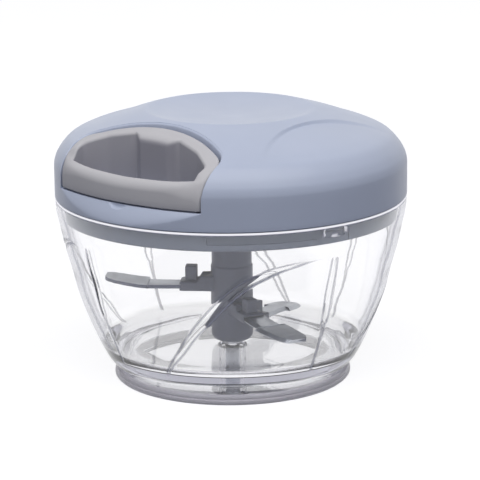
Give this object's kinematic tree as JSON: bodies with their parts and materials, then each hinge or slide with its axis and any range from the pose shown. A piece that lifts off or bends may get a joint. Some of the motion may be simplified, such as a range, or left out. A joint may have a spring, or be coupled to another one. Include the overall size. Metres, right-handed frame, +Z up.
{
  "type": "pull cord food chopper",
  "caption": "Hand-pulled food chopper: clear swirl-fluted bowl, curved blades on a central post, domed lid with a cord reel and a docked D-shaped pull handle.",
  "frame": {"origin": "on the table under the middle of the bowl, at the bottom of the non-slip ring", "axes": "+Z up along the blade unit's axis; the handle is on the -Y side and pulls out along -Y"},
  "size_m": [0.1246, 0.1246, 0.0965],
  "materials": {
    "clear_plastic": "clear moulded plastic, polished",
    "foot_rubber": "translucent soft rubber",
    "lid_plastic": "blue-grey, fine satin texture",
    "skirt_plastic": "mid grey moulded plastic",
    "grip_plastic": "warm grey satin plastic",
    "hub_plastic": "dark grey moulded plastic",
    "white_plastic": "natural low-friction plastic",
    "blade_steel": "ground stainless steel",
    "steel": "plain steel",
    "spring_steel": "blued spring strip",
    "seal_rubber": "soft translucent silicone",
    "cord_nylon": "braided nylon cord"
  },
  "bodies": {
    "bowl": {"bowl": "clear_plastic", "foot_ring": "foot_rubber", "spindle_pin": "steel"},
    "blade_unit": {"blade_hub": "hub_plastic", "hub_bush": "white_plastic", "blade_upper": "blade_steel", "blade_middle": "blade_steel", "blade_lower": "blade_steel", "blade_peg_upper": "hub_plastic", "blade_peg_middle": "hub_plastic", "blade_peg_lower": "hub_plastic"},
    "seal": {"lid_seal": "seal_rubber"},
    "lid": {"top_cover": "lid_plastic", "lid_base": "skirt_plastic", "cord_guide": "white_plastic", "spindle_bush": "white_plastic", "mechanism_cap": "skirt_plastic", "reel_axle": "steel", "recoil_spring": "spring_steel", "lead_cord": "cord_nylon", "cover_screw_1": "steel", "cover_screw_2": "steel", "cover_screw_3": "steel", "cover_screw_4": "steel", "cap_screw_1": "steel", "cap_screw_2": "steel", "cap_screw_3": "steel"},
    "reel": {"cord_reel": "white_plastic", "wound_cord": "cord_nylon", "drive_spindle": "white_plastic"},
    "handle": {"pull_handle": "grip_plastic", "cord_knot": "cord_nylon", "pull_cord": "cord_nylon"}
  },
  "joints": [
    {"name": "lid_lift", "type": "slide", "parent": "bowl", "child": "seal", "axis": [0, 0, 1], "range_m": [0, 0.1]},
    {"name": "lid_twist", "type": "hinge", "parent": "seal", "child": "lid", "pos_m": [0, 0, 0.0666], "axis": [0, 0, 1], "range_deg": [0, 35]},
    {"name": "handle_pull", "type": "slide", "parent": "lid", "child": "handle", "axis": [0, -1, 0], "range_m": [0, 0.35], "stiffness_N_per_m": 20, "springref_m": -0.2},
    {"name": "reel_spin", "type": "hinge", "parent": "lid", "child": "reel", "pos_m": [0, 0, 0.077], "axis": [0, 0, 1], "range_deg": [-1220, 0]},
    {"name": "blade_spin", "type": "hinge", "parent": "bowl", "child": "blade_unit", "pos_m": [0, 0, 0.0124], "axis": [0, 0, 1], "range_deg": [-1220, 0]}
  ],
  "couplings": [
    {"joint": "reel_spin", "follows": "handle_pull", "rad_per_m": -60.606},
    {"joint": "blade_spin", "follows": "handle_pull", "rad_per_m": -60.606}
  ]
}
